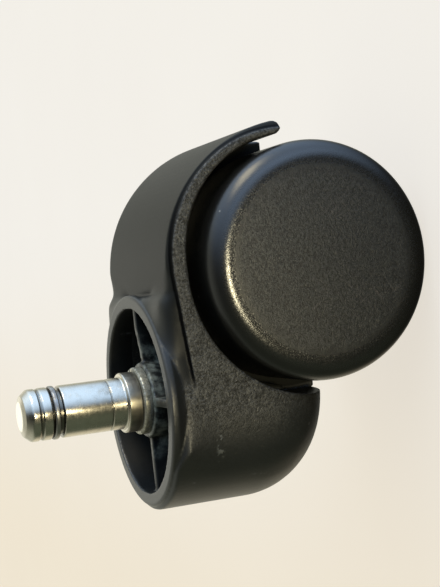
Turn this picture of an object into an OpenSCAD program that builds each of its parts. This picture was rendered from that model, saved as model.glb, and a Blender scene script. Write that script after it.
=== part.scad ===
// Hooded twin-wheel chair caster with a grip-ring stem.
// Millimetres. The origin is on the stem axis, on the shoulder that meets the chair leg.
// +Z runs up the stem, +X runs from the stem axis to the axle, and the axle lies along Y.

/* [Wheels] */
// Diameter of each wheel
wheel_d = 50; // [49:0.5:51]
// Distance between the two outer wheel faces, at their crowns
overall_w = 54.6; // [54:0.2:56]
// Rounding between the tread and the outer face
shoulder_r = 4.5; // [3:0.5:5]
// How far the outer face crowns above its edge
crown_h = 0.4; // [0.2:0.1:0.6]
// Number of ribs inside each wheel
wheel_ribs = 8; // [6:1:12]

/* [Stem] */
// Diameter of the stem that enters the chair leg
stem_d = 11; // [10.8:0.1:11.2]
// Length of the stem above its shoulder
stem_len = 22; // [21:0.5:24]
// Diameter of the collar that stops the stem
collar_d = 12.8; // [12.6:0.1:14]
// Height of the collar
collar_h = 3; // [2.6:0.1:3.2]
// Diameter of the part that turns in the hood
journal_d = 9; // [8.8:0.1:9.2]

/* [Hood] */
// Distance from the stem axis to the axle, which makes the caster trail
trail = 26; // [25.5:0.1:26.5]
// Height of the shoulder above the axle
axle_drop = 38.4; // [38:0.2:39]
// Outer radius of the fender, about its own centre
fender_r = 29.1; // [28.9:0.1:29.5]
// Radius of the space for the wheels in the front half of the hood, about the axle
pocket_r = 27.8; // [27.4:0.1:28]
// Half the width across the flat sides of the hood
side_y = 21.5; // [21:0.1:22]
// Thickness of the web between the wheels
web_t = 6; // [5:0.5:6.5]

/* [Neck] */
// Outer radius of the round body under the neck
body_r = 23.5; // [23.2:0.1:24]
// Outer radius of the raised neck ring
ring_r = 22.6; // [22.3:0.1:22.8]
// Radius of the neck opening
opening_r = 19.8; // [19.5:0.1:20.4]
// Thickness of the ribs that hold the boss
rib_t = 1.8; // [1.4:0.1:2.4]
// Outer diameter of the boss that holds the stem
boss_d = 16; // [15.4:0.2:17]

/* [Axle] */
// Diameter of the steel axle
axle_d = 6; // [5.8:0.1:6.2]

/* [Hidden] */
$fn = 120;

BIG = 100;
TURN_GAP = 0.05; // running clearance between a shaft and its hole, on the radius
FACE_GAP = 0.2; // clearance between faces that turn against each other

// Positions in the hood are x and z from the axle.
fender_mid = [0.1, 2.9];
rear_pocket_r = 24.6;
rear_pocket_mid = [2.2, 3.3];
front_wall_t = 1.8;
neck_top = 34.8;
body_top = 34;
boss_top = 33.5;
boss_foot = 4;
wall_t = 2.5;
floor_r = pocket_r + 2.7;
wheel_room_r = wheel_d / 2 + 1.4;
bowl_arc_r = 18;
bowl_arc_z = 14;
bowl_rear_x = -18;
block_front_x = -28;
block_rear_x = -4;
edge_r = 1.2; // rounding of the fender's long edges
neck_edge_r = 4; // rounding between the flat sides and the top of the neck
block_corner_r = 1.5;
rim_r = 0.5;
tip_angle = 11.6; // where the fender's round rear end starts, above the horizontal
flare_angle = 50; // where the fender starts to thicken towards its rear end
flare = 2.2; // how much larger its outer radius is from there on

// The lower side face stands proud of the smooth outer shell, up to a step line.
// The line is a straight stretch that runs tangent into an arc along the fender.
step_r = 26.6;
step_mid = [1.6, 4.4];
step_tilt = 5.6;
step_depth = 0.7;
step_full_x = -17;
step_fade_x = -25.5;

// The fender's outer outline is two arcs that meet smoothly at the flare angle.
flare_r = fender_r + flare;
flare_mid = fender_mid - flare * [cos(flare_angle), sin(flare_angle)];

neck_foot_z = 28.3;
neck_cone_z = 30.9;
neck_cone_h = 2.4;
neck_cone_r = side_y - edge_r / 4;

rib_drop = 0.9; // how far the ribs along the trail lie below the top of the boss
rib_rise = 1.8; // how much higher the rear rib is at the neck wall
web_grow = 0.6; // how far the web reaches into the hood
web_front_z = -5;
web_hub_z = -7.4;
web_rear_x = 21;
web_rear_z = 1.5;

hub_r = 8;
hub_y = 4.2;

// Along the axle, y is measured from the middle of the caster.
wheel_in_y = 4.6;
hub_in_y = hub_y + FACE_GAP;
crown_y = overall_w / 2;
face_r = wheel_d / 2 - shoulder_r;
face_y = crown_y - crown_h;
crown_r = (face_r * face_r + crown_h * crown_h) / (2 * crown_h);
wheel_wall = 2.6;
wheel_hub_r = 6.8;
middle_ring_r = 14.5;
wheel_rib_t = 1.6;
wheel_rib_y = 8;
axle_end_y = 21.4;
bore_end_y = axle_end_y + 0.5;
clip_y = 18;
clip_w = 1.1;
clip_play = 0.1;
clip_floor_r = axle_d / 2 - 0.6;
clip_out_r = axle_d / 2 + 0.6;
clip_room_r = clip_out_r + 0.3;
clip_room_w = 1.7;
clip_gap = 50;
axle_edge = 0.5;

// Heights on the stem are measured from its shoulder.
tip_round = 2;
grip_z0 = 13.6;
grip_z1 = 15.9;
grip_floor_r = stem_d / 2 - 0.9;
grip_ring_z = 14.4;
grip_ring_h = 1.2;
grip_ring_out_r = stem_d / 2 + 0.12;
grip_ring_bulge_r = 0.9; // radius of its rounded outer side
grip_ring_gap = 24;
grip_ring_turn = 110;
head_line_z = 18.2;
head_line_r = 0.3;
foot_line_z = 3.2;
foot_line_r = 0.22;
collar_edge = 0.5;
foot_z = -16;
journal_edge_r = 0.6;
journal_groove_z = -14.2;
lower_ring_h = 1.1;
lower_ring_gap = 40;
journal_floor_r = journal_d / 2 - 0.8;
lower_ring_r = journal_d / 2 + 0.7;
socket_r = journal_d / 2 + 1.5;
flange_r = collar_d / 2 + 0.8;
bush_foot_z = -12.4;
flange_top_z = -collar_h - 0.1;
socket_floor_z = foot_z - 0.6;

steel = [0.72, 0.72, 0.68];
spring_steel = [0.42, 0.41, 0.38];
bronze_steel = [0.55, 0.53, 0.45];
hood_black = [0.17, 0.17, 0.16];
wheel_black = [0.11, 0.11, 0.11];

// Places children, whose heights are measured from the axle, around the axle.
module at_axle() {
    translate([trail, 0, -axle_drop]) children();
}

// Places children on the stem axis, with heights measured from the axle.
module at_stem() {
    translate([0, 0, -axle_drop]) children();
}

// Turns a side outline, drawn as x and z, into a slab of width w across the axle.
module side_slab(w) {
    rotate([90, 0, 0]) linear_extrude(height = w, center = true) children();
}

// A cylinder along the axle, of radius r and width w, centred between the wheels.
module cross_cylinder(r, w) {
    rotate([90, 0, 0]) cylinder(r = r, h = w, center = true);
}

// A ring of rectangular section, open over gap degrees.
module split_ring(r_in, r_out, h, gap) {
    rotate([0, 0, gap / 2])
        rotate_extrude(angle = 360 - gap)
            translate([r_in, 0]) square([r_out - r_in, h]);
}

// ---------- hood ----------

// Side outline of the space for the wheels, grown by g. Its rear half is a tighter arc.
module pocket_outline(g) {
    intersection() {
        circle(r = pocket_r + g);
        translate([-BIG, -BIG]) square([BIG, 2 * BIG]);
    }
    intersection() {
        translate(rear_pocket_mid) circle(r = rear_pocket_r + g);
        translate([0, -BIG]) square([BIG, 2 * BIG]);
    }
}

// A wedge of the side view, between two angles about the fender's centre.
module fender_wedge(from, to) {
    translate(fender_mid)
        polygon([[0, 0], BIG * [cos(from), sin(from)], BIG * [cos(to), sin(to)]]);
}

// The fender's round rear end, a circle that fills the fender's thickness.
module fender_tip() {
    out_r = flare_r + flare_mid.x * cos(tip_angle) + flare_mid.y * sin(tip_angle);
    in_r = rear_pocket_r + rear_pocket_mid.x * cos(tip_angle) + rear_pocket_mid.y * sin(tip_angle);
    rotate(tip_angle) translate([(out_r + in_r) / 2, 0]) circle(d = out_r - in_r);
}

// Side outline of the fender and the neck above it.
module hood_outline() {
    difference() {
        intersection() {
            union() {
                translate(fender_mid) circle(r = fender_r);
                intersection() {
                    translate(flare_mid) circle(r = flare_r);
                    fender_wedge(-flare_angle, flare_angle);
                }
                circle(r = pocket_r + front_wall_t);
            }
            polygon([[0, 0], [BIG, BIG * tan(tip_angle)], [BIG, BIG], [-BIG, BIG],
                     [-BIG, bowl_arc_z], [-pocket_r / 2, bowl_arc_z]]);
        }
        pocket_outline(-1);
    }
    fender_tip();
    difference() {
        translate([block_front_x, body_r / 2])
            square([block_rear_x - block_front_x, body_top - body_r / 2]);
        translate([block_rear_x - block_corner_r, body_top - block_corner_r]) difference() {
            square(2 * block_corner_r);
            circle(r = block_corner_r);
        }
    }
}

// Half section of the round body: straight above, rounded under, grown inwards by t.
module bowl_half(t) {
    foot = bowl_arc_z - bowl_arc_r + t;
    flat = body_r - bowl_arc_r;
    top_round = 0.8;
    translate([0, foot]) square([flat, bowl_arc_z - foot + 1]);
    translate([0, bowl_arc_z]) square([body_r - t, body_top - bowl_arc_z - top_round]);
    translate([0, bowl_arc_z]) square([body_r - t - top_round, body_top - bowl_arc_z]);
    translate([body_r - t - top_round, body_top - top_round]) circle(r = top_round);
    intersection() {
        translate([flat, bowl_arc_z]) circle(r = bowl_arc_r - t);
        translate([0, foot]) square([body_r, bowl_arc_z - foot + 1]);
    }
}

module bowl(t) {
    at_stem() rotate_extrude() bowl_half(t);
}

// Side outline of the part of the side face that stands proud.
module proud_outline() {
    translate(step_mid) {
        circle(r = step_r);
        rotate(step_tilt) translate([-BIG, -BIG]) square([BIG, BIG + step_r]);
    }
}

// Cuts the sides back above the step line.
module side_step() {
    intersection() {
        at_axle() side_slab(BIG) difference() {
            translate([step_fade_x, -BIG / 2]) square([BIG, BIG]);
            proud_outline();
        }
        for (s = [0, 1]) mirror([0, s, 0])
            translate([trail, 0, -BIG]) linear_extrude(height = 2 * BIG)
                polygon([[step_fade_x, side_y], [step_full_x, side_y - step_depth],
                         [BIG, side_y - step_depth], [BIG, BIG], [step_fade_x, BIG]]);
    }
}

// What is cut off one long edge of the fender, along an arc of radius r about mid.
module edge_round(mid, r) {
    edge_y = side_y - step_depth - edge_r;
    translate([mid.x, 0, mid.y]) rotate([-90, 0, 0]) rotate_extrude() difference() {
        translate([r - edge_r, edge_y]) square(3);
        translate([r - edge_r, edge_y]) circle(r = edge_r);
    }
}

// Rounds the long edges of the fender, outside the step line.
module fender_edge_cut() {
    at_axle() difference() {
        for (s = [0, 1]) mirror([0, s, 0]) {
            intersection() {
                edge_round(fender_mid, fender_r);
                side_slab(BIG) fender_wedge(flare_angle, 180 - flare_angle);
                translate([block_rear_x, 0, 0]) cube([BIG, BIG, BIG]);
            }
            intersection() {
                edge_round(flare_mid, flare_r);
                side_slab(BIG) fender_wedge(0, flare_angle);
            }
        }
        side_slab(BIG) proud_outline();
    }
}

// The outside of the hood, without its hollows.
module hood_outside() {
    difference() {
        intersection() {
            union() {
                at_axle() side_slab(2 * body_r + 2) hood_outline();
                intersection() {
                    bowl(0);
                    at_axle() side_slab(BIG)
                        translate([-BIG, -BIG / 2]) square([BIG + bowl_rear_x, BIG]);
                }
            }
            hood_cross_section();
        }
        side_step();
        fender_edge_cut();
    }
    at_stem() {
        translate([0, 0, neck_cone_z]) cylinder(r = neck_cone_r, h = neck_top - neck_cone_z);
        translate([0, 0, neck_cone_z]) cylinder(r1 = neck_cone_r, r2 = ring_r, h = neck_cone_h);
        translate([0, 0, neck_top - rim_r]) cylinder(r = ring_r - rim_r, h = rim_r);
        translate([0, 0, neck_cone_z + neck_cone_h])
            cylinder(r = ring_r, h = neck_top - rim_r - neck_cone_z - neck_cone_h);
        translate([0, 0, neck_top - rim_r])
            rotate_extrude() translate([ring_r - rim_r, 0]) circle(r = rim_r);
    }
}

// The flat sides and the rounded upper edges, seen along the trail.
module hood_cross_section() {
    at_axle() translate([-BIG, 0, 0]) rotate([90, 0, 90]) linear_extrude(height = 2 * BIG) {
        translate([-side_y, -BIG]) square([2 * side_y, BIG + body_top - neck_edge_r]);
        translate([-side_y + neck_edge_r, 0]) square([2 * (side_y - neck_edge_r), body_top]);
        for (s = [-1, 1])
            translate([s * (side_y - neck_edge_r), body_top - neck_edge_r])
                circle(r = neck_edge_r);
    }
}

// The web between the wheels, from the axle hub out to the fender.
module web() {
    at_axle() {
        side_slab(web_t) intersection() {
            pocket_outline(web_grow);
            polygon([[-body_r - hub_r, web_front_z], [-hub_r, web_hub_z], [hub_r, web_hub_z],
                     [web_rear_x, web_rear_z], [BIG, web_rear_z], [BIG, neck_top],
                     [-body_r - hub_r, neck_top]]);
        }
        cross_cylinder(hub_r, 2 * hub_y);
    }
}

// The boss that holds the stem.
module boss() {
    at_stem() translate([0, 0, boss_foot]) cylinder(d = boss_d, h = boss_top - boss_foot);
}

// Four ribs from the boss to the neck wall.
module neck_ribs() {
    rib_top = boss_top - rib_drop;
    at_stem() {
        side_slab(rib_t) polygon([[-body_r, -BIG / 2], [-body_r, rib_top], [boss_d / 2, rib_top],
                                  [body_r, rib_top + rib_rise], [body_r, -BIG / 2]]);
        translate([-rib_t / 2, -body_r, -BIG / 2])
            cube([rib_t, 2 * body_r, BIG / 2 + boss_top]);
    }
}

// The hollow of the neck, in four quarters around the boss.
module neck_hollow() {
    difference() {
        intersection() {
            at_stem() cylinder(r = opening_r, h = 2 * BIG, center = true);
            union() {
                bowl(wall_t);
                at_stem() translate([0, 0, neck_foot_z]) cylinder(r = opening_r + 1, h = BIG);
            }
        }
        at_axle() cross_cylinder(floor_r, BIG);
        boss();
        neck_ribs();
    }
}

// The space for the wheels under the fender. The boss reaches a little way into it.
module wheel_pocket() {
    at_axle() cross_cylinder(wheel_room_r, BIG);
    difference() {
        at_axle() side_slab(BIG) pocket_outline(0);
        boss();
    }
}

module hood() {
    color(hood_black) difference() {
        union() {
            difference() {
                hood_outside();
                wheel_pocket();
                neck_hollow();
            }
            web();
        }
        at_stem() translate([0, 0, boss_top]) cylinder(r = opening_r, h = BIG);
        translate([0, 0, socket_floor_z]) cylinder(r = socket_r, h = BIG);
        at_axle() cross_cylinder(axle_d / 2, BIG);
    }
}

// ---------- stem and its fittings ----------

// Flanged steel sleeve, pressed into the boss. The stem turns in it.
module socket_bush() {
    boss_z = boss_top - axle_drop;
    color(bronze_steel) difference() {
        union() {
            translate([0, 0, bush_foot_z]) cylinder(r = socket_r, h = flange_top_z - bush_foot_z);
            translate([0, 0, boss_z]) cylinder(r = flange_r, h = flange_top_z - boss_z);
        }
        translate([0, 0, -BIG / 2]) cylinder(r = journal_d / 2 + TURN_GAP, h = BIG);
    }
}

// Half section of the stem.
module stem_half() {
    r = stem_d / 2;
    difference() {
        union() {
            translate([0, foot_z + journal_edge_r])
                square([journal_d / 2, -foot_z - journal_edge_r]);
            translate([0, foot_z]) square([journal_d / 2 - journal_edge_r, -foot_z]);
            translate([journal_d / 2 - journal_edge_r, foot_z + journal_edge_r])
                circle(r = journal_edge_r);
            polygon([[0, -collar_h], [collar_d / 2, -collar_h], [collar_d / 2, -collar_edge],
                     [collar_d / 2 - collar_edge, 0], [0, 0]]);
            square([r, stem_len - tip_round]);
            square([r - tip_round, stem_len]);
            intersection() {
                translate([r - tip_round, stem_len - tip_round]) circle(r = tip_round);
                translate([0, stem_len - tip_round - 0.1]) square([r, tip_round + 0.2]);
            }
        }
        // grip ring groove
        translate([grip_floor_r, grip_z0]) square([2, grip_z1 - grip_z0]);
        // turned lines: one between the two lands of the head, one above the shoulder
        translate([r, head_line_z]) circle(r = head_line_r);
        translate([r, foot_line_z]) circle(r = foot_line_r);
        // groove for the lower ring
        translate([journal_floor_r, journal_groove_z]) square([2, lower_ring_h + 0.2]);
    }
}

module stem() {
    color(steel) rotate_extrude() stem_half();
}

// Split spring ring with a rounded outer side, which holds the stem in the chair leg.
module grip_ring() {
    in_r = grip_floor_r + TURN_GAP;
    color(spring_steel) translate([0, 0, grip_ring_z])
        rotate([0, 0, grip_ring_turn + grip_ring_gap / 2])
            rotate_extrude(angle = 360 - grip_ring_gap) intersection() {
                translate([in_r, 0]) square([grip_ring_out_r - in_r, grip_ring_h]);
                translate([grip_ring_out_r - grip_ring_bulge_r, grip_ring_h / 2])
                    circle(r = grip_ring_bulge_r);
            }
}

// Split ring under the bush that keeps the stem in the hood.
module stem_retaining_ring() {
    color(spring_steel) translate([0, 0, journal_groove_z + 0.1])
        split_ring(journal_floor_r + TURN_GAP, lower_ring_r, lower_ring_h, lower_ring_gap);
}

// ---------- axle and wheels ----------

module axle() {
    r = axle_d / 2;
    color(steel) at_axle() rotate([90, 0, 0]) rotate_extrude() difference() {
        polygon([[0, -axle_end_y], [r - axle_edge, -axle_end_y], [r, -axle_end_y + axle_edge],
                 [r, axle_end_y - axle_edge], [r - axle_edge, axle_end_y], [0, axle_end_y]]);
        for (s = [-1, 1])
            translate([clip_floor_r, s * clip_y - clip_w / 2 - clip_play])
                square([2, clip_w + 2 * clip_play]);
    }
}

// Split ring near one end of the axle, which sits in a groove inside the wheel's hub.
module axle_ring() {
    color(spring_steel) translate([0, 0, clip_y - clip_w / 2])
        split_ring(clip_floor_r + TURN_GAP, clip_out_r, clip_w, clip_gap);
}

// Half section of the outside of a wheel: radius to the right, distance from the middle up.
module wheel_half() {
    intersection() {
        union() {
            translate([0, wheel_in_y]) square([face_r, crown_y - wheel_in_y]);
            translate([0, wheel_in_y]) square([wheel_d / 2, face_y - shoulder_r - wheel_in_y]);
            translate([face_r, face_y - shoulder_r]) intersection() {
                circle(r = shoulder_r);
                translate([-1, -0.5]) square(shoulder_r + 2);
            }
        }
        translate([0, crown_y - crown_r]) circle(r = crown_r, $fn = 720);
    }
    translate([0, hub_in_y]) square([wheel_hub_r, 1]);
}

// One wheel, closed outside and open towards the web, with ribs and a ring inside.
module wheel() {
    r_in = wheel_d / 2 - wheel_wall;
    depth = face_y - wheel_wall - hub_in_y;
    color(wheel_black) difference() {
        rotate_extrude() wheel_half();
        difference() {
            translate([0, 0, hub_in_y - 1]) cylinder(r = r_in, h = depth + 1);
            cylinder(r = wheel_hub_r, h = BIG);
            translate([0, 0, wheel_rib_y]) difference() {
                cylinder(r = middle_ring_r + wheel_rib_t / 2, h = BIG);
                cylinder(r = middle_ring_r - wheel_rib_t / 2, h = BIG);
            }
            for (i = [0 : wheel_ribs - 1])
                rotate([0, 0, i * 360 / wheel_ribs])
                    translate([0, -wheel_rib_t / 2, wheel_rib_y])
                        cube([wheel_d / 2, wheel_rib_t, BIG]);
        }
        cylinder(r = axle_d / 2 + TURN_GAP, h = bore_end_y);
        translate([0, 0, clip_y - clip_room_w / 2]) cylinder(r = clip_room_r, h = clip_room_w);
    }
}

module left_side() {
    at_axle() rotate([-90, 0, 0]) children();
}

module right_side() {
    at_axle() rotate([90, 0, 0]) children();
}

module left_wheel() {
    left_side() wheel();
}

module right_wheel() {
    right_side() wheel();
}

module left_axle_ring() {
    left_side() axle_ring();
}

module right_axle_ring() {
    right_side() axle_ring();
}

hood();
socket_bush();
stem();
grip_ring();
stem_retaining_ring();
axle();
left_wheel();
right_wheel();
left_axle_ring();
right_axle_ring();
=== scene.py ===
"""Looks for the hooded twin-wheel chair caster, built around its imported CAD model.

Lengths are in millimetres until they reach Blender, which works in metres. The row frame has
its origin on the stem axis at the stem's shoulder, Z up the stem, X towards the axle, and the
axle along Y.
"""
import math

import bmesh
import bpy
import numpy as np
from mathutils import Matrix, Vector

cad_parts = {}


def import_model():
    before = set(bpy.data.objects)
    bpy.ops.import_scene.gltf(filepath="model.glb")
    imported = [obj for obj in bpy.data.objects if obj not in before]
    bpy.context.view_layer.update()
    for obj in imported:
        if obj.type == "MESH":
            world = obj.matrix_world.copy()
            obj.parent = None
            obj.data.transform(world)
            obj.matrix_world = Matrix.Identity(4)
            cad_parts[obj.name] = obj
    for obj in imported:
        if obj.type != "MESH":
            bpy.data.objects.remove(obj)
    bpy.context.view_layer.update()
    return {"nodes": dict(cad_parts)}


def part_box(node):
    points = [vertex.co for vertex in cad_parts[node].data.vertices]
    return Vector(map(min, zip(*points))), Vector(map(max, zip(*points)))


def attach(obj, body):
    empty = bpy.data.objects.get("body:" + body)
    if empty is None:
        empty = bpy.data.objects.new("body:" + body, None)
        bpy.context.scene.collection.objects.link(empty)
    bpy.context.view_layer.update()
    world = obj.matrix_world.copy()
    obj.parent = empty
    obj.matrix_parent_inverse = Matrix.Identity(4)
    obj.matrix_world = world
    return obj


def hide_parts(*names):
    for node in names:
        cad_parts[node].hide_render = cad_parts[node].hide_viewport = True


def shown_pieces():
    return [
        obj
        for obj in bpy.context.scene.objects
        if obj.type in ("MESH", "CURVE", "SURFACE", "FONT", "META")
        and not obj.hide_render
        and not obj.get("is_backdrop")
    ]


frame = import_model()
MM = 0.001


def box_mm(node):
    """Lowest and highest corner of a CAD node, in millimetres."""
    low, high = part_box(node)
    return np.array(low) / MM, np.array(high) / MM


# ---------- sizes taken from the frame ----------

WHEEL_LOW, WHEEL_HIGH = box_mm("left_wheel")
WHEEL_R = (WHEEL_HIGH[0] - WHEEL_LOW[0]) / 2
AXLE_X = (WHEEL_HIGH[0] + WHEEL_LOW[0]) / 2
AXLE_Z = (WHEEL_HIGH[2] + WHEEL_LOW[2]) / 2
CROWN_Y = WHEEL_HIGH[1]
FLOOR_Z = WHEEL_LOW[2]
RING_TOP = box_mm("hood")[1][2]

STEM_LOW, STEM_HIGH = box_mm("stem")
STEM_FOOT, STEM_TOP = STEM_LOW[2], STEM_HIGH[2]
COLLAR_R = STEM_HIGH[0]

BUSH_LOW, BUSH_HIGH = box_mm("socket_bush")
BUSH_FOOT, FLANGE_TOP = BUSH_LOW[2], BUSH_HIGH[2]
FLANGE_R = BUSH_HIGH[0]

# ---------- sizes of the looks ----------

SHOULDER_R = 4.5  # rounding from a wheel's tread to its face
CROWN_H = 0.4  # how far a wheel's face bulges
FACE_R = WHEEL_R - SHOULDER_R
SHOULDER_Y = CROWN_Y - CROWN_H - SHOULDER_R
TREAD_Y = 5.6  # a wheel's tread lies beyond this

SIDE_Y = 21.5  # half the width across the hood's flat sides
BOWL_R = 23.5  # the hood's round front, about the stem axis
BOWL_ARC_R = 18.0  # the arc by which the round front curves in towards its foot
BOWL_ARC_Z = 14.0 + AXLE_Z  # where that arc starts
RING_R = 22.6  # the neck ring
SHELL_R = 28.4  # between the hood's outer surface and its wheel space, about the axle

# The line on the side where the face steps back: a tilted straight that runs into an arc.
STEP_X = AXLE_X + 1.6
STEP_Z = AXLE_Z + 4.4
STEP_R = 26.6
STEP_TILT = math.radians(5.6)

STEM_R = 5.5
JOURNAL_R = 4.5  # the foot of the stem, which turns in the bush
COLLAR_FOOT = -3.0
END_R = 2.9  # the flat end of the stem
RETAINING_R = 3.7  # the root of the retaining ring's groove
GRIP_ROOT_R = 4.6  # the root of the grip ring's groove

# The lower and upper end of each groove in the stem.
RETAINING_GROOVE = (-14.2, -12.9)
SHANK_LINE = (3.0, 3.45)
GRIP_GROOVE = (13.55, 15.95)
HEAD_GROOVE = (17.75, 18.75)

GRIP_BORE_R = 4.65
GRIP_GAP = 24.0  # the gap in the grip ring, and where it is, in degrees
GRIP_GAP_AT = 110.0
SLEEVE_R = 5.5  # the bush under its flange, which is out of sight
FLANGE_H = 1.8
TURN_GAP = 0.05

SCUFF_AT = (-9.5, -21.5, -14.0)


# ---------- mesh helpers ----------

def add_object(name, mesh):
    """A new object with that mesh, in the scene."""
    obj = bpy.data.objects.new(name, mesh)
    bpy.context.scene.collection.objects.link(obj)
    return obj


def bake(obj):
    """Turns an object's modifiers into its mesh."""
    graph = bpy.context.evaluated_depsgraph_get()
    mesh = bpy.data.meshes.new_from_object(obj.evaluated_get(graph))
    obj.modifiers.clear()
    obj.data = mesh


def remeshed_copy(node, name, voxel, steps):
    """A fine, even mesh of a CAD node, with its edges softened by a few smoothing steps."""
    mesh = frame["nodes"][node].data.copy()
    work = bmesh.new()
    work.from_mesh(mesh)
    bmesh.ops.remove_doubles(work, verts=work.verts, dist=0.001 * MM)
    work.to_mesh(mesh)
    work.free()
    obj = add_object(name, mesh)
    remesh = obj.modifiers.new("remesh", "REMESH")
    remesh.mode = "VOXEL"
    remesh.voxel_size = voxel * MM
    remesh.use_smooth_shade = True
    smooth = obj.modifiers.new("smooth", "SMOOTH")
    smooth.factor = 0.5
    smooth.iterations = steps
    bake(obj)
    obj.data.materials.clear()
    return obj


def vertices_mm(obj):
    """An object's vertices, in millimetres, as rows of x, y and z."""
    flat = np.empty(len(obj.data.vertices) * 3)
    obj.data.vertices.foreach_get("co", flat)
    return flat.reshape(-1, 3) / MM


def set_vertices_mm(obj, points):
    """Moves an object's vertices to points, in millimetres."""
    obj.data.vertices.foreach_set("co", (points * MM).ravel())
    obj.data.update()


def relax(obj, points, weight, steps, rate=0.6):
    """Smooths the vertices where weight is above 0, and leaves the others."""
    edges = np.empty(len(obj.data.edges) * 2, dtype=np.int64)
    obj.data.edges.foreach_get("vertices", edges)
    a, b = edges.reshape(-1, 2).T
    near = (weight[a] > 0) | (weight[b] > 0)
    a, b = a[near], b[near]
    count = len(points)
    degree = np.bincount(a, minlength=count) + np.bincount(b, minlength=count)
    degree = np.maximum(degree, 1)[:, None]
    for _ in range(steps):
        total = np.stack([np.bincount(a, points[b, k], count)
                          + np.bincount(b, points[a, k], count) for k in range(3)], 1)
        points = points + weight[:, None] * rate * (total / degree - points)
    return points


def smoothstep(low, high, value):
    """0 at low, 1 at high, smooth between, and held beyond. Low may be the larger."""
    t = np.clip((value - low) / (high - low), 0, 1)
    return t * t * (3 - 2 * t)


def rounded(corners, steps=6):
    """Points of an outline whose corners are (r, z, fillet radius)."""
    points = []
    count = len(corners)
    for i, (r, z, fillet) in enumerate(corners):
        here = np.array([r, z])
        if fillet == 0:
            points.append(here)
            continue
        back = np.array(corners[i - 1][:2]) - here
        ahead = np.array(corners[(i + 1) % count][:2]) - here
        back, ahead = back / np.linalg.norm(back), ahead / np.linalg.norm(ahead)
        half = math.acos(np.clip(back @ ahead, -1, 1)) / 2
        reach = fillet / math.tan(half)
        start, end = here + back * reach, here + ahead * reach
        middle = (back + ahead) / np.linalg.norm(back + ahead)
        centre = here + middle * fillet / math.sin(half)
        for k in range(steps + 1):
            t = k / steps
            ray = (start - centre) * (1 - t) + (end - centre) * t
            points.append(centre + ray * fillet / np.linalg.norm(ray))
    return points


def lathe(name, corners, segments=160, start=0.0, sweep=360.0):
    """Turns an outline about the Z axis. A ring's sweep under 360 gets end faces."""
    profile = rounded(corners)
    whole = sweep == 360.0
    turns = segments if whole else segments + 1
    work = bmesh.new()
    rows = []
    for r, z in profile:
        if r < 1e-6:
            rows.append([work.verts.new((0, 0, z * MM))] * turns)
            continue
        row = []
        for k in range(turns):
            angle = math.radians(start + sweep * k / segments)
            row.append(work.verts.new((r * math.cos(angle) * MM, r * math.sin(angle) * MM,
                                       z * MM)))
        rows.append(row)
    closed = profile[0][0] > 1e-6
    pairs = len(rows) if closed else len(rows) - 1
    for i in range(pairs):
        low, high = rows[i], rows[(i + 1) % len(rows)]
        for k in range(segments):
            nxt = (k + 1) % turns
            corner = []
            for vert in (low[k], low[nxt], high[nxt], high[k]):
                if vert not in corner:
                    corner.append(vert)
            if len(corner) > 2:
                work.faces.new(corner)
    if not whole:
        work.faces.new([row[0] for row in rows])
        work.faces.new([row[-1] for row in reversed(rows)])
    bmesh.ops.recalc_face_normals(work, faces=work.faces)
    mesh = bpy.data.meshes.new(name)
    work.to_mesh(mesh)
    work.free()
    obj = add_object(name, mesh)
    mesh.shade_smooth()
    mesh.set_sharp_from_angle(angle=math.radians(40))
    return obj


# ---------- material helper ----------

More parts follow.
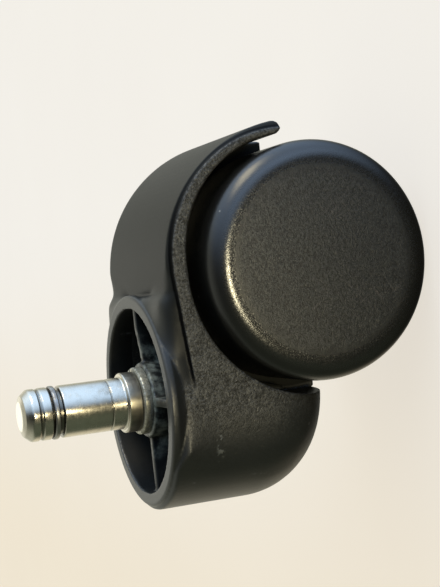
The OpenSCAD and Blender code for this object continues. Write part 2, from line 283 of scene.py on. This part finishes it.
class Nodes:
    """The node tree of a material or a world. Most calls return a socket."""

    def __init__(self, owner):
        self.owner = owner
        owner.use_nodes = True
        self.tree = owner.node_tree
        self.tree.nodes.clear()

    def add(self, kind, settings=None, **inputs):
        """A new node. An input's name has _ for each space."""
        node = self.tree.nodes.new(kind)
        for key, value in (settings or {}).items():
            setattr(node, key, value)
        for key, value in inputs.items():
            self.plug(value, node.inputs[key.replace("_", " ")])
        return node

    def plug(self, value, socket):
        """Links a socket to another, or sets its value."""
        if isinstance(value, bpy.types.NodeSocket):
            self.tree.links.new(value, socket)
        elif socket.type == "RGBA":
            socket.default_value = (*value, 1)
        else:
            socket.default_value = value

    def math(self, op, a, b=0.0):
        """The result of a maths node."""
        node = self.add("ShaderNodeMath", {"operation": op})
        self.plug(a, node.inputs[0])
        self.plug(b, node.inputs[1])
        return node.outputs[0]

    def times(self, first, *others):
        """Multiplies values."""
        for other in others:
            first = self.math("MULTIPLY", first, other)
        return first

    def one_minus(self, value):
        """1 less a value."""
        return self.math("SUBTRACT", 1.0, value)

    def vector(self, op, a, b=None, scale=None):
        """The result of a vector maths node."""
        node = self.add("ShaderNodeVectorMath", {"operation": op})
        self.plug(a, node.inputs[0])
        if b is not None:
            self.plug(b, node.inputs[1])
        if scale is not None:
            self.plug(scale, node.inputs["Scale"])
        return node.outputs["Value" if op in ("LENGTH", "DISTANCE") else "Vector"]

    def noise(self, size, detail=2.0, rough=0.5, at=None):
        """Noise from 0 to 1, whose features are about size across."""
        return self.add("ShaderNodeTexNoise", Vector=at or self.place, Scale=1 / size,
                        Detail=detail, Roughness=rough).outputs["Fac"]

    def cells(self, size):
        """(distance to the nearest point, the cell's own random colour)."""
        node = self.add("ShaderNodeTexVoronoi", Vector=self.place, Scale=1 / size)
        return node.outputs["Distance"], node.outputs["Color"]

    def band(self, value, low, high, out_low=0.0, out_high=1.0):
        """Smoothly maps low..high to out_low..out_high."""
        return self.add("ShaderNodeMapRange", {"interpolation_type": "SMOOTHSTEP"}, Value=value,
                        From_Min=low, From_Max=high, To_Min=out_low,
                        To_Max=out_high).outputs["Result"]

    def mix(self, factor, a, b):
        """Mixes two colours."""
        node = self.add("ShaderNodeMix", {"data_type": "RGBA"})
        self.plug(factor, node.inputs["Factor"])
        colours = [s for s in node.inputs if s.type == "RGBA"]
        self.plug(a, colours[0])
        self.plug(b, colours[1])
        return [s for s in node.outputs if s.type == "RGBA"][0]

    def blend(self, factor, a, b):
        """Mixes two values."""
        node = self.add("ShaderNodeMix", {"data_type": "FLOAT"})
        self.plug(factor, node.inputs[0])
        self.plug(a, node.inputs[2])
        self.plug(b, node.inputs[3])
        return node.outputs[0]

    def bump(self, height, depth, below=None):
        """A bump of that depth, on top of another one."""
        inputs = {"Height": self.times(height, depth), "Distance": MM}
        if below is not None:
            inputs["Normal"] = below
        return self.add("ShaderNodeBump", None, **inputs).outputs["Normal"]

    def from_axle(self):
        """Distance from the axle's centre line."""
        across = self.add("ShaderNodeCombineXYZ", X=self.math("SUBTRACT", self.x, AXLE_X),
                          Z=self.math("SUBTRACT", self.z, AXLE_Z)).outputs["Vector"]
        return self.vector("LENGTH", across)

    def from_stem(self):
        """Distance from the stem's centre line."""
        return self.math("SQRT", self.math("ADD", self.times(self.x, self.x),
                                           self.times(self.y, self.y)))

    def raised_edges(self, low, high):
        """1 on outer edges and corners, 0 elsewhere."""
        pointy = self.add("ShaderNodeNewGeometry").outputs["Pointiness"]
        return self.band(pointy, low, high)

    def finish(self, **inputs):
        """Ends a material with a Principled shader that has these inputs."""
        shader = self.add("ShaderNodeBsdfPrincipled", None, **inputs)
        self.add("ShaderNodeOutputMaterial", Surface=shader.outputs["BSDF"])
        return self.owner


def material_nodes(name):
    """A new material's nodes, with the place in the row frame in millimetres."""
    n = Nodes(bpy.data.materials.new(name))
    coords = n.add("ShaderNodeTexCoord").outputs["Object"]
    n.place = n.vector("SCALE", coords, scale=1 / MM)
    n.x, n.y, n.z = n.add("ShaderNodeSeparateXYZ", Vector=n.place).outputs
    return n


# ---------- materials ----------

def mottle(n, size):
    """Blotches from 0 to 1, as on plastic moulded in a spark-eroded tool."""
    coarse = n.band(n.noise(size, 4, 0.65), 0.22, 0.78)
    small = n.band(n.noise(0.4 * size, 3, 0.6), 0.25, 0.75)
    return n.math("ADD", n.times(coarse, 0.5), n.times(small, 0.5))


def hood_plastic():
    """Black moulded plastic: grained on the flat sides, smoother on the outer shell."""
    n = material_nodes("hood_plastic")
    above = height_above_step(n)
    far_out = n.math("ABSOLUTE", n.y)
    smooth = n.times(n.band(above, -0.15, 0.25), n.band(n.x, 2, 6))
    side = n.times(n.band(far_out, SIDE_Y - 7, SIDE_Y - 1.2), n.band(n.x, -13, 3, 0.08, 1),
                   n.band(n.z, RING_TOP - 2.0, RING_TOP - 4.5), n.one_minus(smooth))
    blotch = mottle(n, 1.1)
    grain = n.noise(0.42, 3, 0.6)
    fine = n.noise(0.16, 2, 0.6)

    # The plastic itself.
    cloud = n.noise(9, 4, 0.6)
    shell = n.mix(cloud, (0.008, 0.0085, 0.0075), (0.016, 0.016, 0.015))
    face = n.mix(cloud, (0.006, 0.0055, 0.004), (0.013, 0.0115, 0.008))
    face = n.mix(n.times(blotch, 0.6), face, (0.030, 0.027, 0.020))
    colour = n.mix(side, shell, face)

    # Pale specks, worn edges, dust, painted light on the top of the neck ring, and the scuffs.
    pale = n.band(n.noise(0.7, 2, 0.5), 0.66, 0.76)
    colour = n.mix(n.times(pale, side, 0.6), colour, (0.16, 0.145, 0.115))
    edge = n.times(n.raised_edges(0.56, 0.66), n.band(n.noise(1.4, 3), 0.3, 0.7))
    colour = n.mix(n.times(edge, 0.25), colour, (0.16, 0.16, 0.17))
    colour = n.mix(n.times(dust(n), 0.7), colour, (0.36, 0.38, 0.31))
    # Painted light: the top of the neck ring is made paler, as if lit from above.
    ring = n.times(n.band(n.z, RING_TOP - 0.7, RING_TOP - 0.2), 0.5)
    colour = n.mix(ring, colour, (0.060, 0.058, 0.052))
    colour = n.mix(scuffs(n), colour, (0.13, 0.13, 0.115))

    # Painted shade: a near-black line in the corner where the side steps back.
    off_corner = n.math("ABSOLUTE", n.math("SUBTRACT", above, 0.2))
    corner = n.times(n.band(off_corner, 0.42, 0.15), n.band(n.x, 1.5, 6),
                     n.band(far_out, SIDE_Y - 2, SIDE_Y - 1.3))
    colour = n.mix(corner, colour, (0.002, 0.002, 0.002))

    # Gloss, less of it beside the step and hardly any between the wheels.
    rough = n.blend(side, n.band(fine, 0.2, 0.8, 0.36, 0.46), n.band(grain, 0.3, 0.7, 0.44, 0.62))
    gloss = n.blend(side, 0.65, n.band(blotch, 0.2, 0.8, 0.3, 1.0))
    shaded = n.times(n.band(above, 4.0, 1.0), smooth)
    gloss = n.times(gloss, n.one_minus(n.times(shaded, 0.8)))
    gloss = n.times(gloss, n.one_minus(n.times(smooth, 0.3)))
    between = n.times(n.band(far_out, 11, 8), n.band(n.from_axle(), SHELL_R - 1.0, SHELL_R - 1.6))
    gloss = n.blend(n.math("MAXIMUM", corner, between), gloss, 0.05)

    relief = n.bump(fine, n.blend(side, 0.006, 0.012))
    relief = n.bump(n.math("ADD", grain, blotch), n.blend(side, 0.006, 0.08), relief)
    return n.finish(Base_Color=colour, Roughness=rough, Normal=relief, Specular_IOR_Level=gloss)


def height_above_step(n):
    """Distance above the step line on the sides."""
    place = n.add("ShaderNodeCombineXYZ", X=n.math("SUBTRACT", n.x, STEP_X),
                  Y=n.math("SUBTRACT", n.z, STEP_Z)).outputs["Vector"]
    turned = n.add("ShaderNodeVectorRotate", {"rotation_type": "Z_AXIS"}, Vector=place,
                   Angle=-STEP_TILT).outputs["Vector"]
    along, across, _ = n.add("ShaderNodeSeparateXYZ", Vector=turned).outputs
    line = n.blend(n.math("LESS_THAN", along, 0.0), n.vector("LENGTH", turned), across)
    return n.math("SUBTRACT", line, STEP_R)


def scuffs(n):
    """A short trail of pale marks on the near side."""
    off = n.vector("MULTIPLY", n.vector("SUBTRACT", n.place, SCUFF_AT), (0.22, 0.3, 1.0))
    near = n.band(n.vector("LENGTH", off), 1.25, 0.35)
    return n.times(near, n.band(n.noise(1.0, 3, 0.6), 0.50, 0.62, 0.0, 0.8))


def dust(n):
    """Dust and lint that gather around the boss."""
    by_boss = n.times(n.band(n.from_stem(), 17, 7), n.band(n.z, -22, -6))
    patches = n.band(n.noise(3.0, 5, 0.65), 0.42, 0.68)
    return n.times(by_boss, patches)


def wheel_plastic():
    """Near-black moulded plastic with a grained face and a smoother shoulder."""
    n = material_nodes("wheel_plastic")
    radius = n.from_axle()
    outside = n.band(n.math("ABSOLUTE", n.y), CROWN_Y - 2.0, CROWN_Y - 0.8)
    face = n.times(n.band(radius, FACE_R + 2.4, FACE_R - 3.0), outside)
    blotch = mottle(n, 0.7)
    grain = n.noise(0.36, 3, 0.65)
    fine = n.noise(0.15, 2, 0.6)

    # The plastic, with a few pale specks and a rubbed patch.
    cloud = n.noise(7, 4, 0.6)
    colour = n.mix(cloud, (0.005, 0.005, 0.0045), (0.010, 0.0095, 0.008))
    colour = n.mix(n.times(blotch, face, 0.4), colour, (0.020, 0.019, 0.015))
    far, tone = n.cells(4.2)
    chosen = n.band(n.add("ShaderNodeSeparateColor", Color=tone).outputs[0], 0.72, 0.78)
    colour = n.mix(n.times(n.band(far, 0.085, 0.045), chosen, 0.7), colour, (0.30, 0.29, 0.26))
    colour = n.mix(n.times(scratches(n), face, 0.3), colour, (0.09, 0.075, 0.065))

    # Gloss, with a shinier rim where the face turns into the shoulder.
    rough = n.blend(face, n.band(fine, 0.2, 0.8, 0.27, 0.33), n.band(grain, 0.3, 0.7, 0.33, 0.46))
    gloss = n.blend(face, 0.65, n.band(blotch, 0.2, 0.8, 0.45, 0.9))
    rim = n.times(n.band(radius, FACE_R - 2.0, FACE_R + 0.3),
                  n.band(radius, FACE_R + 2.8, FACE_R + 1.2), outside)
    gloss = n.blend(rim, gloss, 1.0)
    rough = n.blend(rim, rough, n.band(n.noise(0.35, 3, 0.7), 0.3, 0.7, 0.17, 0.31))

    relief = n.bump(fine, n.blend(face, 0.003, 0.008))
    relief = n.bump(n.math("ADD", grain, blotch), n.blend(face, 0.008, 0.040), relief)
    return n.finish(Base_Color=colour, Roughness=rough, Normal=relief, Specular_IOR_Level=gloss)


def scratches(n):
    """Faint lines in two directions, where the surface has been rubbed."""
    total = 0.0
    for turn in (0.6, -0.9):
        turned = n.add("ShaderNodeVectorRotate", {"rotation_type": "Y_AXIS"}, Vector=n.place,
                       Angle=turn).outputs["Vector"]
        squeezed = n.vector("MULTIPLY", turned, (0.12, 1.0, 1.8))
        line = n.band(n.noise(1.0, 2, 0.5, squeezed), 0.60, 0.72)
        total = n.math("ADD", total, line)
    patch = n.band(n.noise(12, 2), 0.5, 0.66)
    return n.times(total, patch)


def turned_steel(name, bright, dull, low_rough, high_rough, stain_and_shade):
    """Plated steel with fine turning marks around Z, a little tarnish, and painted shade below
    the top of the collar.
    """
    n = material_nodes(name)
    along = n.add("ShaderNodeCombineXYZ", Z=n.z).outputs["Vector"]
    marks = n.noise(0.22, 3, 0.7, along)
    tarnish_and_shade = n.band(n.noise(2.4, 5, 0.65), 0.45, 0.72)
    # Painted shade: below the top of the collar the steel is made darker and duller, as if in
    # shadow.
    painted_shade_below_collar = n.band(n.z, 0.3, -0.6)
    tarnish_and_shade = n.math("MAXIMUM", tarnish_and_shade, n.times(painted_shade_below_collar, 0.9))
    stain_and_shade = n.blend(painted_shade_below_collar, stain_and_shade, 0.8)
    colour = n.mix(n.times(tarnish_and_shade, stain_and_shade), bright, dull)
    uneven = n.math("ADD", n.times(marks, 0.5), n.times(n.noise(0.9, 3), 0.5))
    rough = n.band(uneven, 0.3, 0.7, low_rough, high_rough)
    rough = n.math("ADD", rough, n.times(tarnish_and_shade, n.times(stain_and_shade, 0.2)))

    # Darker colour in the roots of the grooves above the collar, and the pale cut end.
    groove = n.times(n.band(n.from_stem(), STEM_R - 0.06, STEM_R - 0.30),
                     n.times(n.band(n.z, SHANK_LINE[0] - 0.5, SHANK_LINE[0]),
                             n.band(n.z, HEAD_GROOVE[1] + 0.45, HEAD_GROOVE[1] + 0.05)))
    colour = n.mix(n.times(groove, 0.8), colour, (0.06, 0.055, 0.045))
    colour = n.mix(n.band(n.z, STEM_TOP - 0.12, STEM_TOP - 0.04), colour, (1.0, 0.96, 0.88))

    relief = n.bump(marks, 0.005)
    relief = n.bump(n.noise(0.9, 2), 0.004, relief)
    return n.finish(Base_Color=colour, Roughness=rough, Metallic=1.0, Normal=relief)


def bush_metal():
    """Dull plated steel under a film of dust and old grease."""
    n = material_nodes("bush_metal")
    film = n.band(n.noise(1.1, 5, 0.7), 0.36, 0.66)
    colour = n.mix(film, (0.50, 0.48, 0.40), (0.12, 0.115, 0.085))
    rough = n.blend(film, 0.32, 0.8)
    metal = n.blend(film, 1.0, 0.25)
    relief = n.bump(n.noise(0.35, 4, 0.65), 0.03)
    return n.finish(Base_Color=colour, Roughness=rough, Metallic=metal, Normal=relief)


# ---------- pieces ----------

def above_step(x, z):
    """Distance above the step line, seen from the side."""
    u, v = x - STEP_X, z - STEP_Z
    along = u * math.cos(STEP_TILT) + v * math.sin(STEP_TILT)
    across = v * math.cos(STEP_TILT) - u * math.sin(STEP_TILT)
    return np.where(along < 0, across, np.hypot(along, across)) - STEP_R


def soften_front(p, blend=4.0):
    """Moves points so that the flat sides flow into the round front, over blend."""
    x, y, z = p.T
    radius = np.maximum(np.hypot(x, y), 1e-6)
    longest = 0.95 * BOWL_ARC_R  # stops short of where the arc turns flat
    inset = np.clip(BOWL_ARC_Z - z, 0, longest)
    bowl = BOWL_R - BOWL_ARC_R + np.sqrt(BOWL_ARC_R ** 2 - inset ** 2)
    from_side = SIDE_Y - np.abs(y)
    from_bowl = bowl - radius
    gap = np.clip(1 - np.abs(from_side - from_bowl) / blend, 0, 1)
    depth = blend / 4 * gap ** 2
    depth *= smoothstep(1.2, 0.5, np.minimum(from_side, from_bowl)) * smoothstep(7, -3, x)
    depth *= smoothstep(RING_TOP - 3.0, RING_TOP - 11.0, z)
    share = np.clip(0.5 + 0.5 * (from_bowl - from_side) / blend, 0, 1)[:, None]
    side = np.stack([0 * x, np.sign(y), 0 * x], 1)
    front = np.stack([x, y, 0 * x], 1) / radius[:, None]
    return p - depth[:, None] * (share * side + (1 - share) * front)


def soften_neck(obj, p, steps=130):
    """Lets the neck's block flow into the fender, and the flat sides into the round front."""
    x, y, z = p.T
    far_out = np.abs(y)
    from_stem = np.hypot(x, y)

    block = smoothstep(0.4, 1.4, above_step(x, z)) * smoothstep(RING_R, RING_R + 0.7, from_stem)
    block *= smoothstep(SHELL_R, SHELL_R + 0.4, np.hypot(x - AXLE_X, z - AXLE_Z))
    block *= smoothstep(0, 6, x) * smoothstep(28, 24, x) * smoothstep(7, 13, far_out)

    front = smoothstep(-1, -5, x) * smoothstep(-21, -17, x) * smoothstep(14, 17, far_out)
    front *= smoothstep(RING_TOP - 3.5, RING_TOP - 5.5, z)
    front *= smoothstep(FLOOR_Z + 9, FLOOR_Z + 13, z)
    front *= smoothstep(BOWL_R - 2.0, BOWL_R - 1.2, from_stem)
    return relax(obj, p, np.maximum(block, front), steps)


def hood_shell():
    """The hood, with moulded edges and soft flows between its surfaces."""
    obj = remeshed_copy("hood", "hood_shell", voxel=0.3, steps=3)
    set_vertices_mm(obj, soften_neck(obj, soften_front(vertices_mm(obj))))
    return obj


def wheel_moulding(side, sign):
    """A wheel whose tread, shoulder and crowned face lie exactly on their curves."""
    obj = remeshed_copy(side + "_wheel", side + "_wheel_moulding", voxel=0.35, steps=2)
    p = vertices_mm(obj)
    dx, dz = p[:, 0] - AXLE_X, p[:, 2] - AXLE_Z
    r = np.maximum(np.hypot(dx, dz), 1e-6)
    y = p[:, 1] * sign
    new_r, new_y = r.copy(), y.copy()
    off_face, off_arc, off_tread = 1.2, 0.8, 0.4  # how far off its curve a point may lie
    crown_r = (FACE_R ** 2 + CROWN_H ** 2) / (2 * CROWN_H)
    face = (r <= FACE_R) & (y > CROWN_Y - off_face)
    new_y[face] = CROWN_Y - crown_r + np.sqrt(crown_r ** 2 - r[face] ** 2)
    out_r, out_y = r - FACE_R, y - SHOULDER_Y
    away = np.hypot(out_r, out_y)
    arc = (out_r > 0) & (out_y > 0) & (np.abs(away - SHOULDER_R) < off_arc)
    scale = SHOULDER_R / away[arc]
    new_r[arc] = FACE_R + out_r[arc] * scale
    new_y[arc] = SHOULDER_Y + out_y[arc] * scale
    tread = (out_y <= 0) & (r > WHEEL_R - off_tread) & (y > TREAD_Y)
    new_r[tread] = WHEEL_R
    p[:, 0] = AXLE_X + dx * new_r / r
    p[:, 2] = AXLE_Z + dz * new_r / r
    p[:, 1] = new_y * sign
    set_vertices_mm(obj, p)
    return obj


def groove(r, root_r, ends, slope, lips, root):
    """Corners of a groove whose walls lean in by slope. Lips and root are the roundings."""
    low, high = ends
    return [(r, low, lips[0]), (root_r, low + slope, root),
            (root_r, high - slope, root), (r, high, lips[1])]


def stem_turned():
    """The stem: a foot in the bush, a collar, a plain shank and a grooved head."""
    foot = [(0, STEM_FOOT, 0), (JOURNAL_R, STEM_FOOT, 0.6)]
    retaining = groove(JOURNAL_R, RETAINING_R, RETAINING_GROOVE, 0, (0, 0), 0)
    collar = [(JOURNAL_R, COLLAR_FOOT, 0), (COLLAR_R, COLLAR_FOOT, 0.25), (COLLAR_R, 0, 0.4),
              (STEM_R, 0, 0.4)]
    line = groove(STEM_R, STEM_R - 0.16, SHANK_LINE, 0.15, (0.1, 0.1), 0.05)
    grip = groove(STEM_R, GRIP_ROOT_R, GRIP_GROOVE, 0.05, (0.3, 0.35), 0.15)
    head = groove(STEM_R, STEM_R - 0.22, HEAD_GROOVE, 0.3, (0.25, 0.25), 0.2)
    end = [(STEM_R, STEM_TOP - 1.9, 1.1), (4.3, STEM_TOP - 0.45, 0.7), (END_R, STEM_TOP, 0.05),
           (0, STEM_TOP, 0)]
    return lathe("stem_turned", foot + retaining + collar + line + grip + head + end)


def bush_sleeve():
    """The flanged sleeve in the boss."""
    bore = JOURNAL_R + TURN_GAP
    under = FLANGE_TOP - FLANGE_H
    corners = [
        (bore, BUSH_FOOT, 0), (SLEEVE_R, BUSH_FOOT, 0.2), (SLEEVE_R, under, 0),
        (FLANGE_R, under, 0.15), (FLANGE_R, FLANGE_TOP, 0.5), (bore, FLANGE_TOP, 0.1),
    ]
    return lathe("bush_sleeve", corners)


def spring_grip():
    """The split ring in the stem's groove, with rounded edges and a gap."""
    low, high = box_mm("grip_ring")
    corners = [(GRIP_BORE_R, low[2], 0.1), (high[0], low[2], 0.4), (high[0], high[2], 0.4),
               (GRIP_BORE_R, high[2], 0.1)]
    return lathe("spring_grip", corners, start=GRIP_GAP_AT + GRIP_GAP / 2,
                 sweep=360 - GRIP_GAP)


def paint(obj, material):
    """Gives an object one material."""
    obj.data.materials.clear()
    obj.data.materials.append(material)


def place(obj, node, body, slot, material):
    """A piece that stands for a CAD node and rides on its body."""
    paint(obj, material)
    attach(obj, body)
    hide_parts(node)


hood_mat = hood_plastic()
wheel_mat = wheel_plastic()
stem_mat = turned_steel("plated_steel", (0.60, 0.56, 0.48), (0.30, 0.27, 0.21), 0.14, 0.28, 0.3)
spring_mat = turned_steel("spring_steel", (0.36, 0.35, 0.33), (0.14, 0.12, 0.10), 0.25, 0.45, 0.7)
axle_mat = turned_steel("axle_steel", (0.62, 0.61, 0.58), (0.25, 0.23, 0.20), 0.22, 0.4, 0.5)

place(hood_shell(), "hood", "hood", "hood_plastic", hood_mat)
place(wheel_moulding("left", 1), "left_wheel", "left_wheel", "wheel_plastic", wheel_mat)
place(wheel_moulding("right", -1), "right_wheel", "right_wheel", "wheel_plastic", wheel_mat)
place(stem_turned(), "stem", "stem", "plated_steel", stem_mat)
place(bush_sleeve(), "socket_bush", "hood", "bush_metal", bush_metal())
place(spring_grip(), "grip_ring", "stem", "spring_steel", spring_mat)
for node in ("stem_retaining_ring", "left_axle_ring", "right_axle_ring"):
    frame["nodes"][node].material_slots[0].material = spring_mat
frame["nodes"]["axle"].material_slots[0].material = axle_mat


# ---------- stage, light and camera ----------

BACKDROP = (0.86, 0.82, 0.75)
FLOOR_MATTE = 0.3  # share of the floor's paleness that lights and shadows act on
FLOOR_GLOW = 0.79  # the rest, which keeps the floor even
FLOOR_R = 4000
FLOOR_FADE = (600, 2200)  # between these radii the floor turns into the backdrop


def floor():
    """A wide pale floor, a little warmer on the -X side."""
    mesh = bpy.data.meshes.new("floor")
    work = bmesh.new()
    bmesh.ops.create_circle(work, cap_ends=True, segments=96, radius=FLOOR_R * MM)
    work.to_mesh(mesh)
    work.free()
    obj = add_object("floor", mesh)
    obj.location = (0, 0, FLOOR_Z * MM)
    n = material_nodes("pale_floor")
    warm = n.band(n.x, 60, -110)
    colour = n.mix(warm, (0.87, 0.825, 0.755), (0.84, 0.745, 0.595))
    colour = n.mix(n.noise(70, 3), colour, n.mix(0.06, colour, (0.5, 0.4, 0.3)))
    matte = n.mix(FLOOR_MATTE, (0.0, 0.0, 0.0), colour)
    far = n.band(n.vector("LENGTH", n.place), *FLOOR_FADE)
    matte = n.mix(far, matte, (0.0, 0.0, 0.0))
    colour = n.mix(far, colour, [part / FLOOR_GLOW for part in BACKDROP])
    paint(obj, n.finish(Base_Color=matte, Roughness=0.9, Specular_IOR_Level=0.0,
                        Emission_Color=colour, Emission_Strength=FLOOR_GLOW))
    obj.visible_glossy = False
    obj.visible_diffuse = False
    obj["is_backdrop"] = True
    return obj


# Light that the room sends in, as (direction it comes from, where it starts, where it is
# full, colour and strength). Start and full are cosines of the angle to the direction.
AMBIENT = (0.020, 0.020, 0.018)
ROOM_LIGHT = [
    ((0.95, -0.25, 0.15), 0.25, 0.95, (1.08, 1.50, 2.15)),
    ((0.0, 0.9, 0.45), -0.05, 0.8, (0.58, 0.59, 0.50)),
    ((0.0, 1.0, 0.12), 0.80, 1.0, (0.34, 0.32, 0.28)),
    ((0.0, 0.93, 0.36), 0.955, 0.99, (0.35, 0.34, 0.31)),
    ((-0.95, -0.3, 0.0), 0.25, 0.95, (0.09, 0.11, 0.075)),
    ((-0.65, 0.65, -0.4), 0.84, 0.98, (0.44, 0.37, 0.26)),
]


def world():
    """A room with a ceiling light, a cool window and a pale table, plain where it is seen."""
    sky = bpy.data.worlds.new("pale_room")
    bpy.context.scene.world = sky
    n = Nodes(sky)
    ray = n.add("ShaderNodeTexCoord").outputs["Generated"]
    total = AMBIENT
    for direction, start, full, colour in ROOM_LIGHT:
        towards = n.add("ShaderNodeVectorMath", {"operation": "DOT_PRODUCT"})
        n.plug(ray, towards.inputs[0])
        n.plug(Vector(direction).normalized(), towards.inputs[1])
        lobe = n.band(towards.outputs["Value"], start, full)
        total = n.vector("ADD", total, n.vector("SCALE", colour, scale=lobe))
    seen = n.add("ShaderNodeLightPath").outputs["Is Camera Ray"]
    light = n.add("ShaderNodeBackground", Color=n.mix(seen, total, BACKDROP), Strength=1.0)
    n.add("ShaderNodeOutputWorld", Surface=light.outputs[0])


def group(name, objects):
    """A collection that a light can be kept to."""
    made = bpy.data.collections.new(name)
    for obj in objects:
        made.objects.link(obj)
    return made


CAMERA_AT = Vector((24.75, -266.2, 77.6)) * MM
CAMERA_AIM = Vector((20.9, 0, -25.1)) * MM
CAMERA_UP = Vector((0.9945, -0.025, -0.102))
CAMERA_LENS = 79.7


def facing(place, aim, up):
    """A matrix at place whose -Z points at aim and whose Y is near up."""
    back = (place - aim).normalized()
    right = up.cross(back).normalized()
    up = back.cross(right)
    turn = Matrix((right, up, back)).transposed().to_4x4()
    return Matrix.Translation(place) @ turn


def camera():
    """The camera, turned so that the caster seems to lie on its side."""
    data = bpy.data.cameras.new("camera")
    data.lens = CAMERA_LENS
    data.sensor_width = 36
    data.clip_start = 0.01
    obj = bpy.data.objects.new("camera", data)
    bpy.context.scene.collection.objects.link(obj)
    obj.matrix_world = facing(CAMERA_AT, CAMERA_AIM, CAMERA_UP)
    bpy.context.scene.camera = obj


def add_light(name, kind, place, aim, colour, power, lit, blockers=None, **settings):
    """A light at place that points at aim and lights only the collection lit."""
    data = bpy.data.lights.new(name, kind)
    data.color = colour
    data.energy = power
    for key, value in settings.items():
        setattr(data, key, value)
    obj = bpy.data.objects.new(name, data)
    bpy.context.scene.collection.objects.link(obj)
    obj.matrix_world = facing(Vector(place) * MM, Vector(aim) * MM, Vector((0.3, 0.1, 1)))
    obj.visible_camera = False
    obj.light_linking.receiver_collection = lit
    if blockers:
        obj.light_linking.blocker_collection = blockers


stage = group("lit_floor", [floor()])
caster = group("lit_caster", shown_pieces())
world()
camera()
FACE_SPOT = (AXLE_X, -CROWN_Y, AXLE_Z)
add_light("ceiling_light", "AREA", (-20, -620, 0), FACE_SPOT, (1.0, 0.89, 0.58), 1.75, caster,
          shape="DISK", size=80 * MM)
add_light("window_light", "AREA", (480, -120, 120), FACE_SPOT, (1.0, 0.85, 0.54), 1.0, caster,
          shape="RECTANGLE", size=260 * MM, size_y=160 * MM)
add_light("floor_light", "SUN", (100, -150, 600), (0, 0, 0), (1.0, 0.99, 0.97), 1.0, stage,
          blockers=stage, angle=math.radians(70))
bpy.context.scene.view_settings.view_transform = "Standard"
